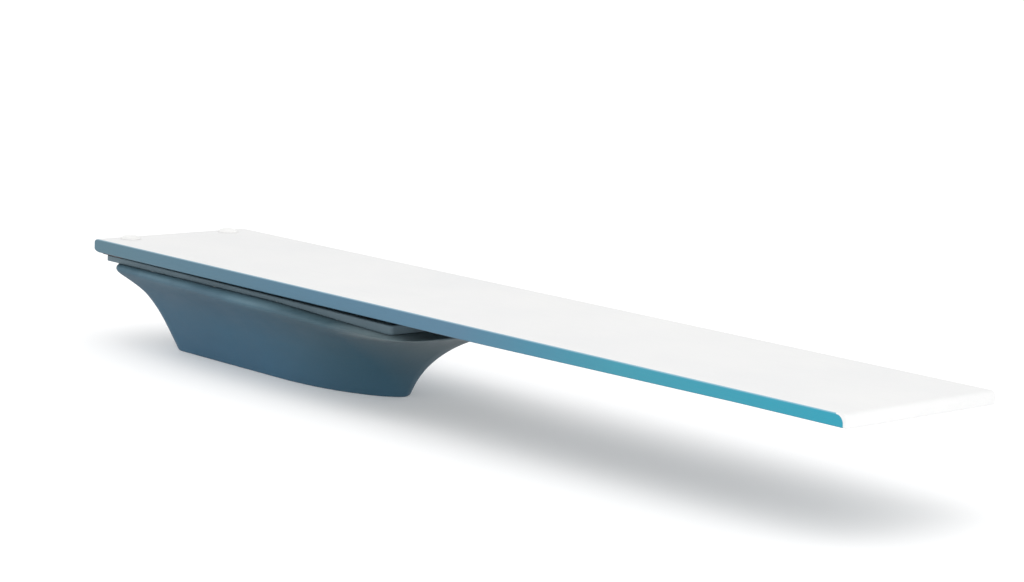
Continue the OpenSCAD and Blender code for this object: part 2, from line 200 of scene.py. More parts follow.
def moulded(name, dark, light, rough, tex=0.22, painted_shade_levels=None):
    # rotation-moulded plastic: orange-peel skin, cloudy pigment, pale scuffs; with levels, painted shade and painted
    # light by height and along x
    m, nt, b = new_material(name, light, rough, spec=0.34)
    v = coords(nt)
    cloud = noise(nt, v, 4.5, 5, 0.6, 0.4)
    flow = noise(nt, coords(nt, (2, 2, 7)), 3, 3, 0.5)
    speck = noise(nt, v, 420, 2, 0.6)
    blend = math_node(nt, "ADD", math_node(nt, "MULTIPLY", cloud, 0.7), math_node(nt, "MULTIPLY", flow, 0.3))
    if painted_shade_levels is None:
        c = ramp(nt, blend, [(0.36, dark), (0.64, light)])
    else:
        # painted shade and painted light by height: the levels darken under the lip and lighten the top band beside the
        # groove
        z = math_node(nt, "ADD", separate(nt, v)[2], math_node(nt, "MULTIPLY", math_node(nt, "SUBTRACT", cloud, 0.5), 0.030))
        c = ramp(nt, math_node(nt, "MULTIPLY", z, 4.0), [(q * 4.0, col) for q, col in painted_shade_levels])
        shade_ = ramp(nt, blend, [(0.34, (0.90, 0.90, 0.91)), (0.66, (1.06, 1.05, 1.04))])
        c = mix_color(nt, 1.0, c, shade_, "MULTIPLY")
    if painted_shade_levels is not None:
        x = separate(nt, v)[0]
        # painted shade: darker and warmer towards the front, from x 0.02 to 0.30
        c = mix_color(nt, remap(nt, x, 0.02, 0.30, 0, 1), c, mix_color(nt, 1.0, c, (0.86, 0.80, 0.74), "MULTIPLY"))
        # painted light: lighter and greyer towards the front, where the nose stands out past the platform beneath the
        # board
        c = mix_color(nt, remap(nt, x, 0.36, 0.50, 0.0, 0.60), c, (0.120, 0.145, 0.148))
        # painted light: the top band of the lip towards the front is lightened, though it lies in the board's shade
        top = math_node(nt, "MULTIPLY", remap(nt, x, 0.36, 0.50, 0, 1), remap(nt, separate(nt, v)[2], 0.1885, 0.1930, 0, 0.7))
        c = mix_color(nt, top, c, (0.230, 0.320, 0.350))
    c = mix_color(nt, math_node(nt, "MULTIPLY", remap(nt, speck, 0.60, 0.72, 0, 1), 0.12), c, tuple(min(1, k * 1.6 + 0.02) for k in light))
    scuff = noise(nt, coords(nt, (5, 5, 60)), 4, 6, 0.7, 0.8)
    c = mix_color(nt, math_node(nt, "MULTIPLY", remap(nt, scuff, 0.68, 0.78, 0, 1), 0.16), c, tuple(min(1, k * 1.5 + 0.05) for k in light))
    nt.links.new(c, b.inputs["Base Color"])
    nt.links.new(remap(nt, cloud, 0.3, 0.7, rough - 0.05, rough + 0.07), b.inputs["Roughness"])
    peel = voronoi(nt, v, 210, "SMOOTH_F1")
    h = math_node(nt, "ADD", math_node(nt, "MULTIPLY", peel, 0.9), math_node(nt, "MULTIPLY", speck, 0.35))
    bump(nt, b, h, tex, 0.0009)
    return m


# painted shade and painted light by height for the shell: darker from mid-height up to under the lip, much lighter on
# the top band beside the groove, which lies in the board's shade
SHELL_PAINTED_SHADE_LEVELS = [(0.0, (0.036, 0.110, 0.180)), (0.10, (0.026, 0.090, 0.146)), (0.165, (0.024, 0.073, 0.115)),
                (0.184, (0.027, 0.077, 0.117)), (0.195, (0.047, 0.108, 0.150)), (0.2025, (0.085, 0.160, 0.205))]


def mat_cap():
    m, nt, b = new_material("cap_white", (0.86, 0.86, 0.85), 0.38, spec=0.45)
    v = coords(nt)
    n1 = noise(nt, v, 35, 4)
    n2 = noise(nt, v, 650, 2)
    nt.links.new(ramp(nt, n1, [(0.35, (0.70, 0.70, 0.69)), (0.7, (0.78, 0.78, 0.77))]), b.inputs["Base Color"])
    nt.links.new(remap(nt, n1, 0.3, 0.7, 0.32, 0.46), b.inputs["Roughness"])
    bump(nt, b, math_node(nt, "ADD", n1, math_node(nt, "MULTIPLY", n2, 0.4)), 0.08, 0.0005)
    return m


def mat_rubber(name, dark, light):
    m, nt, b = new_material(name, light, 0.8, spec=0.3)
    v = coords(nt)
    n1 = noise(nt, v, 28, 5, 0.62)
    n2 = noise(nt, v, 480, 3, 0.6)
    bloom = noise(nt, v, 9, 4, 0.7, 0.5)
    c = ramp(nt, n1, [(0.3, dark), (0.7, light)])
    c = mix_color(nt, math_node(nt, "MULTIPLY", remap(nt, bloom, 0.55, 0.75, 0, 1), 0.35), c, tuple(k * 2.4 + 0.02 for k in light))
    nt.links.new(c, b.inputs["Base Color"])
    nt.links.new(remap(nt, n1, 0.3, 0.7, 0.68, 0.9), b.inputs["Roughness"])
    bump(nt, b, math_node(nt, "ADD", n2, math_node(nt, "MULTIPLY", n1, 0.6)), 0.3, 0.0007)
    return m


def mat_paint():
    # powder coat: orange peel, slight colour drift, thin rust bleeding in places
    m, nt, b = new_material("frame_paint", (0.075, 0.082, 0.092), 0.42, spec=0.5)
    v = coords(nt)
    peel = noise(nt, v, 330, 2, 0.5)
    cloud = noise(nt, v, 11, 5, 0.65, 0.3)
    rust = noise(nt, v, 42, 6, 0.72, 0.6)
    c = ramp(nt, cloud, [(0.3, (0.055, 0.060, 0.068)), (0.7, (0.098, 0.106, 0.118))])
    rf = math_node(nt, "MULTIPLY", remap(nt, rust, 0.66, 0.74, 0, 1), remap(nt, cloud, 0.48, 0.62, 0, 1))
    c = mix_color(nt, math_node(nt, "MULTIPLY", rf, 0.75), c, (0.13, 0.052, 0.022))
    nt.links.new(c, b.inputs["Base Color"])
    nt.links.new(math_node(nt, "ADD", remap(nt, cloud, 0.3, 0.7, 0.36, 0.50), math_node(nt, "MULTIPLY", rf, 0.35)), b.inputs["Roughness"])
    bump(nt, b, math_node(nt, "ADD", peel, math_node(nt, "MULTIPLY", rf, 0.8)), 0.16, 0.0006)
    return m


def mat_steel():
    m, nt, b = new_material("bolt_steel", (0.56, 0.56, 0.55), 0.32, metallic=1.0)
    v = coords(nt)
    n1 = noise(nt, v, 60, 5, 0.65)
    brush = noise(nt, coords(nt, (40, 40, 900)), 3, 3, 0.6)
    nt.links.new(ramp(nt, n1, [(0.3, (0.42, 0.41, 0.39)), (0.7, (0.62, 0.62, 0.61))]), b.inputs["Base Color"])
    nt.links.new(remap(nt, math_node(nt, "ADD", n1, brush), 0.6, 1.4, 0.22, 0.46), b.inputs["Roughness"])
    bump(nt, b, brush, 0.12, 0.0003)
    return m


def mat_wood():
    m, nt, b = new_material("core_wood", (0.55, 0.38, 0.22), 0.6)
    v = coords(nt, (0.8, 9, 9))
    g = noise(nt, v, 6, 6, 0.7, 1.2)
    w = nt.nodes.new("ShaderNodeTexWave")
    w.bands_direction = "Y"
    w.inputs["Scale"].default_value = 1.2
    w.inputs["Distortion"].default_value = 7
    w.inputs["Detail"].default_value = 3
    nt.links.new(v, w.inputs["Vector"])
    mixf = math_node(nt, "ADD", math_node(nt, "MULTIPLY", g, 0.5), math_node(nt, "MULTIPLY", w.outputs["Fac"], 0.5))
    nt.links.new(ramp(nt, mixf, [(0.2, (0.36, 0.22, 0.11)), (0.6, (0.58, 0.41, 0.24)), (0.9, (0.68, 0.52, 0.33))]), b.inputs["Base Color"])
    nt.links.new(remap(nt, mixf, 0.2, 0.8, 0.5, 0.72), b.inputs["Roughness"])
    bump(nt, b, g, 0.2, 0.0008)
    return m


SIDE_STOPS = [(-0.53, (0.067, 0.148, 0.194)), (0.30, (0.062, 0.154, 0.230)), (0.80, (0.070, 0.166, 0.250)),
              (1.05, (0.044, 0.200, 0.290)), (1.28, (0.030, 0.245, 0.325)), (1.86, (0.008, 0.268, 0.370))]
# dark blue-grey underside, made extra dark so that the gap between board and platform reads as deep shade: partly
# painted shade
UNDER_SHADED_DARK, UNDER_SHADED_LIGHT = (0.030, 0.060, 0.080), (0.045, 0.080, 0.105)

M = {
    "tread_white": mat_tread(),
    "side_blue": mat_side(),
    "underside": moulded("underside", UNDER_SHADED_DARK, UNDER_SHADED_LIGHT, 0.5, 0.12),
    "cap_white": mat_cap(),
    "bolt_steel": mat_steel(),
    "rubber_black": mat_rubber("rubber_black", (0.012, 0.012, 0.013), (0.028, 0.028, 0.030)),
    "rubber_brown": mat_rubber("rubber_brown", (0.040, 0.018, 0.014), (0.085, 0.040, 0.032)),
    "platform_moulding": moulded("platform_moulding", (0.100, 0.150, 0.180), (0.126, 0.184, 0.216), 0.52, 0.16),
    "shell_moulding": moulded("shell_moulding", (0.040, 0.105, 0.165), (0.045, 0.115, 0.175), 0.52, 0.16, SHELL_PAINTED_SHADE_LEVELS),
    "frame_paint": mat_paint(),
    "core_wood": mat_wood(),
}

# ------------------------------------------------------------------ mesh tools
def make_object(name, verts, faces, mat):
    me = bpy.data.meshes.new(name)
    me.from_pydata([tuple(v) for v in verts], [], [tuple(f) for f in faces])
    me.validate()
    ob = bpy.data.objects.new(name, me)
    bpy.context.scene.collection.objects.link(ob)
    ob.data.materials.append(M[mat])
    return ob


def fix_normals(ob):
    bm = bmesh.new()
    bm.from_mesh(ob.data)
    bmesh.ops.remove_doubles(bm, verts=bm.verts, dist=1e-6)
    bmesh.ops.recalc_face_normals(bm, faces=bm.faces)
    bm.to_mesh(ob.data)
    bm.free()


def shade(ob, angle=35):
    me = ob.data
    for p in me.polygons:
        p.use_smooth = True
    bm = bmesh.new()
    bm.from_mesh(me)
    lim = math.radians(angle)
    for e in bm.edges:
        if len(e.link_faces) == 2:
            e.smooth = e.calc_face_angle(0) < lim
        else:
            e.smooth = False
    bm.to_mesh(me)
    bm.free()


def apply_modifiers(ob):
    bpy.context.view_layer.update()
    dg = bpy.context.evaluated_depsgraph_get()
    me = bpy.data.meshes.new_from_object(ob.evaluated_get(dg), depsgraph=dg)
    old = ob.data
    ob.modifiers.clear()
    ob.data = me
    me.name = ob.name
    bpy.data.meshes.remove(old)


def bevelled(node, name, mat, width, segments=2, angle=28, dissolve=0.6):
    """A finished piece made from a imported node's mesh: coplanar facets merged, edges broken."""
    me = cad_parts[node].data.copy()
    me.name = name
    me.materials.clear()
    ob = bpy.data.objects.new(name, me)
    bpy.context.scene.collection.objects.link(ob)
    me.materials.append(M[mat])
    for p in me.polygons:
        p.material_index = 0
    bm = bmesh.new()
    bm.from_mesh(me)
    bmesh.ops.remove_doubles(bm, verts=bm.verts, dist=1e-6)
    bmesh.ops.dissolve_limit(bm, angle_limit=math.radians(dissolve), verts=bm.verts, edges=bm.edges)
    bmesh.ops.recalc_face_normals(bm, faces=bm.faces)
    bm.to_mesh(me)
    bm.free()
    if width > 0:
        bv = ob.modifiers.new("b", "BEVEL")
        bv.width = width
        bv.segments = segments
        bv.limit_method = "ANGLE"
        bv.angle_limit = math.radians(angle)
        bv.use_clamp_overlap = True
        bv.harden_normals = False
        apply_modifiers(ob)
    shade(ob, 32)
    return ob


def finish_piece(ob, body, nodes):
    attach(ob, body)
    if nodes:
        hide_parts(*nodes)
    return ob


def cut(ob, boxes=(), cylinders=()):
    """Cuts boxes and upright cylinders out of a closed mesh."""
    bm = bmesh.new()
    for a, b in boxes:
        r = bmesh.ops.create_cube(bm, size=1.0)
        for v in r["verts"]:
            v.co = Vector([(a[i] + b[i]) / 2 + v.co[i] * (b[i] - a[i]) for i in range(3)])
    for c, rad, z0, z1 in cylinders:
        r = bmesh.ops.create_cone(bm, cap_ends=True, segments=40, radius1=rad, radius2=rad, depth=z1 - z0)
        for v in r["verts"]:
            v.co += Vector((c[0], c[1], (z0 + z1) / 2))
    me = bpy.data.meshes.new("cutter")
    bm.to_mesh(me)
    bm.free()
    tool = bpy.data.objects.new("cutter", me)
    bpy.context.scene.collection.objects.link(tool)
    md = ob.modifiers.new("cut", "BOOLEAN")
    md.operation = "DIFFERENCE"
    md.solver = "EXACT"
    md.use_self = True
    md.object = tool
    apply_modifiers(ob)
    bpy.data.objects.remove(tool)


# ------------------------------------------------------------------ board
lo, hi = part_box("tread_skin")
X0, X1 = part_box("rear_skin")[0].x, hi.x
TOP = hi.z
HW = hi.y
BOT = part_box("rear_skin")[0].z
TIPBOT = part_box("tread_skin")[0].z
TAPER = TIPBOT - BOT
RE = 0.0032           # radius along the long edges


def board_section(x):
    """Half-width, underside and top of the board at x."""
    bot = BOT + TAPER * min(1, max(0, (x - 0.855) / 0.730))
    top = TOP
    hw = HW
    if x < X0 + 0.024:
        k = 0.0125 * (1 - math.sqrt(max(0, 1 - ((X0 + 0.024 - x) / 0.024) ** 2)))
        top -= k
        bot += k
    r = 0.006
    if x < X0 + r:
        hw -= r - math.sqrt(max(0, r * r - (X0 + r - x) ** 2))
    r = 0.015
    if x > X1 - r:
        top -= r - math.sqrt(max(0, r * r - (x - X1 + r) ** 2))
    r = 0.004
    if x > X1 - r:
        bot += r - math.sqrt(max(0, r * r - (x - X1 + r) ** 2))
    r = 0.008
    if x > X1 - r:
        hw -= r - math.sqrt(max(0, r * r - (x - X1 + r) ** 2))
    return hw, bot, top


CURVE_R = 0.018
CURVE_END = X1 - 0.0125


def side_limit(x, top):
    """Upper limit of the coloured side; near the tip it rounds down inside the white wrap."""
    z = top - RE - 0.0004
    if x > CURVE_END - CURVE_R:
        dx = min(CURVE_R, x - (CURVE_END - CURVE_R))
        z = min(z, TOP - RE - CURVE_R + math.sqrt(max(0.0, CURVE_R ** 2 - dx ** 2)))
    return z


def board_stations():
    xs = [X0 + 0.024 * (1 - math.cos(math.pi / 2 * k / 14)) for k in range(15)]
    n = 60
    a, b = X0 + 0.024, CURVE_END - CURVE_R
    xs += [a + (b - a) * k / n for k in range(1, n)]
    xs += [CURVE_END - CURVE_R + CURVE_R * math.sin(math.pi / 2 * k / 10) for k in range(11)]
    xs += [X1 - 0.0125 + 0.0125 * math.sin(math.pi / 2 * k / 10) for k in range(1, 11)]
    xs += [0.855, 1.585]
    return sorted(set(round(x, 6) for x in xs))


def section_loop(x, ny=16, na=4):
    hw, bot, top = board_section(x)
    r = min(RE, (top - bot) * 0.4)
    pts = []
    def corner(cy, cz, a0):
        for k in range(na + 1):
            a = a0 + math.pi / 2 * k / na
            pts.append((x, cy + r * math.cos(a), cz + r * math.sin(a)))
    def run(p, q, n):
        for k in range(1, n):
            pts.append((x, p[0] + (q[0] - p[0]) * k / n, p[1] + (q[1] - p[1]) * k / n))
    z1 = max(bot + r + 0.0006, min(top - r - 0.0002, side_limit(x, top)))
    z2 = bot + r + (z1 - bot - r) * 0.5
    corner(hw - r, top - r, 0)
    run((hw - r, top), (-hw + r, top), ny)
    corner(-hw + r, top - r, math.pi / 2)
    pts.extend([(x, -hw, z1), (x, -hw, z2)])
    corner(-hw + r, bot + r, math.pi)
    run((-hw + r, bot), (hw - r, bot), ny)
    corner(hw - r, bot + r, 1.5 * math.pi)
    pts.extend([(x, hw, z2), (x, hw, z1)])
    return pts


def skin_of(i, x):
    """The skin that segment i of the section belongs to at x."""
    if x > CURVE_END:
        return "tread_skin"
    top = 2 <= i < 22
    bottom = 29 <= i < 49
    if top:
        return "tread_skin" if x > X0 + 0.009 else "rear_skin"
    if bottom:
        return "bottom_skin" if x > X0 + 0.009 else "rear_skin"
    if x < X0 + 0.0055:
        return "rear_skin"
    if x > CURVE_END - CURVE_R and i in (22, 23, 24, 53, 0, 1):
        return "tread_skin"
    return "side_skin_right" if i < 29 else "side_skin_left"


def build_board():
    xs = board_stations()
    rings = [section_loop(x) for x in xs]
    n = len(rings[0])
    verts = [p for r in rings for p in r]
    groups = {"tread_skin": [], "side_skin_left": [], "side_skin_right": [], "rear_skin": [], "bottom_skin": []}
    for j in range(len(rings) - 1):
        xm = (xs[j] + xs[j + 1]) / 2
        for i in range(n):
            a = j * n + i
            b = j * n + (i + 1) % n
            groups[skin_of(i, xm)].append((a, b, b + n, a + n))
    groups["rear_skin"].append(tuple(range(n)))
    groups["tread_skin"].append(tuple((len(rings) - 1) * n + i for i in range(n - 1, -1, -1)))
    return verts, groups


verts, groups = build_board()
skin_mats = {"tread_skin": "tread_white", "side_skin_left": "side_blue", "side_skin_right": "side_blue",
             "rear_skin": "side_blue", "bottom_skin": "underside"}
for node, fs in groups.items():
    used = sorted({i for f in fs for i in f})
    remap_i = {k: n for n, k in enumerate(used)}
    ob = make_object(node.replace("skin", "surface"), [verts[i] for i in used],
                     [[remap_i[i] for i in f] for f in fs], skin_mats[node])
    bm = bmesh.new()
    bm.from_mesh(ob.data)
    bmesh.ops.recalc_face_normals(bm, faces=bm.faces)
    # outward test against the board's middle
    s = 0.0
    for f in bm.faces:
        c = f.calc_center_median()
        d = Vector((0, c.y, c.z - (TOP + BOT) / 2)) if X0 + 0.02 < c.x < X1 - 0.02 else Vector((c.x - (X0 + X1) / 2, 0, c.z - (TOP + BOT) / 2))
        s += f.normal.dot(d.normalized()) * f.calc_area() if d.length else 0
    if s < 0:
        bmesh.ops.reverse_faces(bm, faces=bm.faces)
    bm.to_mesh(ob.data)
    bm.free()
    so = ob.modifiers.new("thickness", "SOLIDIFY")
    so.thickness = 0.0026
    so.offset = -1
    so.use_even_offset = False
    so.use_quality_normals = True
    apply_modifiers(ob)
    shade(ob, 40)
    finish_piece(ob, "board", [node])

core = bevelled("board_core", "board_core_wood", "core_wood", 0.0)
core.data.transform(Matrix.Translation((0, 0, 0)))
finish_piece(core, "board", ["board_core"])


# ------------------------------------------------------------------ rear fixing
def lathe(name, profile, centers, mat, seg=96):
    """Closed solid of revolution: profile is a closed loop of (r, z) or starts and ends on the axis."""
    verts, faces = [], []
    for cx, cy in centers:
        base = len(verts)
        n = len(profile)
        idx = []
        for r, z in profile:
            if r < 1e-7:
                idx.append([len(verts)] * seg)
                verts.append((cx, cy, z))
            else:
                row = []
                for k in range(seg):
                    a = 2 * math.pi * k / seg
                    row.append(len(verts))
                    verts.append((cx + r * math.cos(a), cy + r * math.sin(a), z))
                idx.append(row)
        closed = profile[0][0] > 1e-7 or profile[-1][0] > 1e-7
        for j in range(n if closed else n - 1):
            j2 = (j + 1) % n
            for k in range(seg):
                k2 = (k + 1) % seg
                q = [idx[j][k], idx[j][k2], idx[j2][k2], idx[j2][k]]
                q = [v for i, v in enumerate(q) if v not in q[:i]]
                if len(q) > 2:
                    faces.append(q)
    ob = make_object(name, verts, faces, mat)
    fix_normals(ob)
    return ob


blo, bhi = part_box("bolt_caps")
cap_r = (bhi.x - blo.x) / 2
bolt_x = (bhi.x + blo.x) / 2
bolt_y = bhi.y - cap_r
at = [(bolt_x, -bolt_y), (bolt_x, bolt_y)]
dome = []
H = bhi.z - TOP
dome.append((0, TOP + H))
for k in range(1, 15):
    a = math.pi / 2 * k / 15
    r = cap_r * 0.80 * math.sin(a) ** 0.9
    dome.append((r, TOP + H - (H - 0.0052) * (1 - math.cos(a))))
dome += [(cap_r * 0.815, TOP + 0.0047), (cap_r * 0.835, TOP + 0.0040), (cap_r * 0.86, TOP + 0.0038),
         (cap_r * 0.93, TOP + 0.0037), (cap_r * 0.975, TOP + 0.0031), (cap_r * 0.995, TOP + 0.0021), (cap_r, TOP + 0.0010),
         (cap_r * 0.998, TOP + 0.0001), (cap_r * 0.90, TOP + 0.0001), (0.0215, TOP + 0.0001), (0.0215, TOP - 0.004), (0.0196, TOP - 0.004)]
for k in range(1, 8):
    a = math.pi / 2 * k / 7
    dome.append((0.0196 * math.cos(a), TOP + 0.0058 * math.sin(a)))
dome[-1] = (0, TOP + 0.0058)
caps = lathe("bolt_cap_domes", dome, at, "cap_white")
shade(caps, 50)
finish_piece(caps, "board", ["bolt_caps"])

for node, mat, w in (("cup_washers", "bolt_steel", 0.0004), ("rubber_washers", "rubber_black", 0.0005),
                     ("plate_washers", "bolt_steel", 0.0004), ("lock_nuts", "bolt_steel", 0.0008)):
    finish_piece(bevelled(node, node + "_finished", mat, w), "board", [node])


def threaded_bolts():
    lo_, hi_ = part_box("mounting_bolts")
    head_h = 0.0095
    z_under = hi_.z - head_h
    R = 0.0079
    pitch, depth = 0.0023, 0.0011
    verts, faces = [], []
    seg = 28
    for cx, cy in at:
        rows = []
        z = lo_.z
        zs = [lo_.z, lo_.z + 0.0012]
        zt = z_under - 0.022
        step = pitch / 6
        z = lo_.z + 0.0012
        while z < zt:
            z += step
            zs.append(z)
        zs += [zt + 0.002, z_under]
        for j, z in enumerate(zs):
            row = []
            for k in range(seg):
                a = 2 * math.pi * k / seg
                if j == 0:
                    r = R - 0.0016
                elif z < zt:
                    t = (z / pitch - k / seg) % 1.0
                    r = R - depth * abs(2 * t - 1)
                else:
                    r = R
                row.append(len(verts))
                verts.append((cx + r * math.cos(a), cy + r * math.sin(a), z))
            rows.append(row)
        for r0, r1 in zip(rows, rows[1:]):
            for k in range(seg):
                k2 = (k + 1) % seg
                faces.append((r0[k], r0[k2], r1[k2], r1[k]))
        faces.append(tuple(reversed(rows[0])))
        faces.append(tuple(rows[-1]))
        # chamfered hexagon head
        hx = []
        R6 = 0.012 / math.cos(math.pi / 6)
        for r_, z_ in ((R6 * 0.985, z_under), (R6, z_under + 0.0005), (R6, hi_.z - 0.0013), (0.0113, hi_.z)):
            ring = []
            for k in range(6):
                for s in (0, 1, 2):
                    a0 = math.pi / 3 * k
                    a1 = math.pi / 3 * (k + 1)
                    p0 = Vector((math.cos(a0), math.sin(a0)))
                    p1 = Vector((math.cos(a1), math.sin(a1)))
                    p = p0.lerp(p1, s / 3)
                    if r_ < R6 * 0.9:
                        p = p.normalized()
                    ring.append(len(verts))
                    verts.append((cx + r_ * p.x, cy + r_ * p.y, z_))
            hx.append(ring)
        for r0, r1 in zip(hx, hx[1:]):
            for k in range(18):
                k2 = (k + 1) % 18
                faces.append((r0[k], r0[k2], r1[k2], r1[k]))
        faces.append(tuple(reversed(hx[0])))
        faces.append(tuple(hx[-1]))
    ob = make_object("mounting_bolts_threaded", verts, faces, "bolt_steel")
    fix_normals(ob)
    shade(ob, 30)
    return ob


finish_piece(threaded_bolts(), "board", ["mounting_bolts"])


# ------------------------------------------------------------------ rubber
def ribbed_pad():
    """Rear pad: a rubber strip with softly bulged edges and two bolt holes."""
    a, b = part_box("rear_pad")
    ob = bevelled("rear_pad", "rear_rubber_pad", "rubber_brown", 0.0012, 3, 40)
    return ob


finish_piece(ribbed_pad(), "stand", ["rear_pad"])


def fulcrum():
    a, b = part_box("fulcrum_pad")
    cx = (a.x + b.x) / 2
    w = b.x - a.x
    h = b.z - a.z
    r = 0.017
    prof = []
    fl = 0.0015
    prof.append((-w / 2 + fl, a.z))
    prof.append((-w / 2 + 0.0004, a.z + fl * 0.5))
    prof.append((-w / 2, a.z + fl))
    for k in range(1, 5):
        prof.append((-w / 2, a.z + fl + (h - r - fl) * k / 4))
    for k in range(1, 11):
        t = math.pi - math.pi / 2 * k / 10
        prof.append((-w / 2 + r + r * math.cos(t), b.z - r + r * math.sin(t)))
    for k in range(1, 4):
        prof.append((-w / 2 + r + (w - 2 * r) * k / 4, b.z))
    left = prof
    prof = left + [(-x, z) for x, z in reversed(left)]
    seen = []
    for p in prof:
        if not seen or (abs(p[0] - seen[-1][0]) > 1e-7 or abs(p[1] - seen[-1][1]) > 1e-7):
            seen.append(p)
    prof = seen
    ys = [a.y, a.y + 0.0006, a.y + 0.002]
    n = 30
    ys += [a.y + 0.002 + (b.y - a.y - 0.004) * k / n for k in range(1, n)]
    ys += [b.y - 0.002, b.y - 0.0006, b.y]
    verts, faces = [], []
    m = len(prof)
    for j, y in enumerate(ys):
        e = min(y - a.y, b.y - y)
        s = 0.0016 if e < 1e-6 else (0.0006 if e < 0.001 else 0.0)
        for x, z in prof:
            sx = x * (1 - 2 * s / w)
            sz = (a.z + b.z) / 2 + (z - (a.z + b.z) / 2) * (1 - 2 * s / h)
            verts.append((cx + sx, y, sz))
    for j in range(len(ys) - 1):
        for i in range(m):
            i2 = (i + 1) % m
            faces.append((j * m + i, j * m + i2, (j + 1) * m + i2, (j + 1) * m + i))
    faces.append(tuple(range(m - 1, -1, -1)))
    faces.append(tuple((len(ys) - 1) * m + i for i in range(m)))
    ob = make_object("fulcrum_rubber", verts, faces, "rubber_black")
    fix_normals(ob)
    shade(ob, 38)
    return ob


pad = finish_piece(fulcrum(), "stand", ["fulcrum_pad"])
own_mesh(pad)
finish_piece(bevelled("lower_bushings", "lower_rubber_bushings", "rubber_black", 0.0006), "stand", ["lower_bushings"])


# ------------------------------------------------------------------ platform
PX0, PX1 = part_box("platform")[0].x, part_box("platform")[1].x
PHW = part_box("platform")[1].y
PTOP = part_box("platform")[1].z
PUND = PTOP - 0.015
REAR_IN, FRONT_IN = 0.0, 0.0
PFRONT = PTOP - 0.0065


def interp(x, pts):
    return float(np.interp(x, [p[0] for p in pts], [p[1] for p in pts]))


def ledge(x):
    return PUND - interp(x, [(0.125, 0), (0.295, 0.0055), (0.435, 0.0105), (0.525, 0.013), (0.700, 0.013)])


def ptop(x):
    return PTOP - (PTOP - PFRONT) * max(0.0, x + 0.478) / (PX1 + 0.478)


def rounded_outline(x0, x1, w, r, n=14, nx=44, ny=12):
    pts = []
    r = max(r, 0.0008)
    for cx, cy, a0 in ((x1 - r, w - r, 0), (x0 + r, w - r, 90), (x0 + r, -w + r, 180), (x1 - r, -w + r, 270)):
        for k in range(n + 1):
            a = math.radians(a0 + 90 * k / n)
            pts.append((cx + r * math.cos(a), cy + r * math.sin(a)))
        m = nx if a0 in (0, 180) else ny
        if a0 == 0:
            q = (x0 + r, w)
        elif a0 == 90:
            q = (x0, -w + r)
        elif a0 == 180:
            q = (x1 - r, -w)
        else:
            q = (x1, w - r)
        p = pts[-1]
        for k in range(1, m):
            pts.append((p[0] + (q[0] - p[0]) * k / m, p[1] + (q[1] - p[1]) * k / m))
    return pts


def platform_mesh():
    R = 0.011
    rings = []
    def ring(inset, z):
        o = rounded_outline(PX0 + REAR_IN + inset, PX1 - FRONT_IN - inset, PHW - inset, R - inset)
        rings.append([(x, y, z(x)) for x, y in o])
    e = 0.0035
    t = 0.014
    # inside of the skirt, from the underside of the plate down to the foot, then up the outside
    ring(t + 0.0006, lambda x: PUND - (0 if x < 0.1 else 0))
    ring(t, lambda x: min(PUND - 0.0002, ledge(x) + 0.0010))
    ring(t - 0.001, lambda x: min(PUND - 0.0001, ledge(x) + 0.0002))
    ring(0.0012, lambda x: ledge(x) + 0.0001)
    ring(0.0003, lambda x: ledge(x) + 0.0006)
    ring(0.0, lambda x: ledge(x) + 0.0016)
    for k in (0.25, 0.5, 0.75):
        ring(0.0, lambda x, k=k: ledge(x) + 0.0016 + (ptop(x) - e - ledge(x) - 0.0016) * k)
    for k in range(0, 7):
        a = math.pi / 2 * k / 6
        ring(e * (1 - math.cos(a)), lambda x, a=a: ptop(x) - e + e * math.sin(a))
    ring(0.012, ptop)
    ring(0.060, ptop)
    n = len(rings[0])
    verts = [p for r in rings for p in r]
    faces = []
    for j in range(len(rings) - 1):
        for i in range(n):
            i2 = (i + 1) % n
            faces.append((j * n + i, j * n + i2, (j + 1) * n + i2, (j + 1) * n + i))
    faces.append(tuple(range(n)))
    faces.append(tuple((len(rings) - 1) * n + i for i in range(n)))
    ob = make_object("platform_moulded", verts, faces, "platform_moulding")
    bm = bmesh.new()
    bm.from_mesh(ob.data)
    bmesh.ops.recalc_face_normals(bm, faces=bm.faces)
    # triangulate the two big end faces so that the sloped top stays true
    bmesh.ops.triangulate(bm, faces=[f for f in bm.faces if len(f.verts) > 4])
    bm.to_mesh(ob.data)
    bm.free()
    ca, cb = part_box("fulcrum_channel")
    boxes = [((ca.x - 0.003, ca.y - 0.003, PUND - 0.02), (cb.x + 0.003, cb.y + 0.003, PTOP + 0.02))]
    cyl = [((x, y), 0.0094, PUND - 0.02, PTOP + 0.02) for x, y in at]
    for x in (-0.380, 0.100, 0.380):
        for s in (-1, 1):
            cyl.append(((x, s * 0.070), 0.007, ptop(x) - 0.0055, PTOP + 0.02))
    cut(ob, boxes, cyl)
    shade(ob, 30)
    return ob


finish_piece(platform_mesh(), "stand", ["platform"])


# ------------------------------------------------------------------ stand shell
SX0, SX1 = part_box("stand_shell")[0].x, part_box("stand_shell")[1].x
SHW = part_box("stand_shell")[1].y
ROWS = []


def clamp01(t):
    return min(1.0, max(0.0, t))


def ease(t):
    c = clamp01(t)
    return c * c * (3 - 2 * c)


def flare(u):
    return 0.64 * u + 0.36 * max(0, u) ** 4


def reach(u):
    return 0.26 * u + 0.74 * max(0, u) ** 2.5


def lip_z(x):
    return ledge(x) - interp(x, [(0.125, 0.014), (0.435, 0.008), (0.560, 0.005)])


NOSE, BHW, BREAR = 0.368, 0.1205, 0.382


def wall(u, i=0.0):
    g = flare(u)
    sq = max(0, u) ** 20
    return [-BREAR - 0.115 * g + i, 0.045 + 0.015 * g - 0.030 * ease((u - 0.72) / 0.28) - i, BHW + (0.230 - BHW) * g - i, BHW + (SHW - BHW) * g - i,
            0.048 + 0.267 * u, NOSE + (SX1 - NOSE) * reach(u) - i, 2.05 + 3.95 * sq, 1.6 + 4.4 * sq]


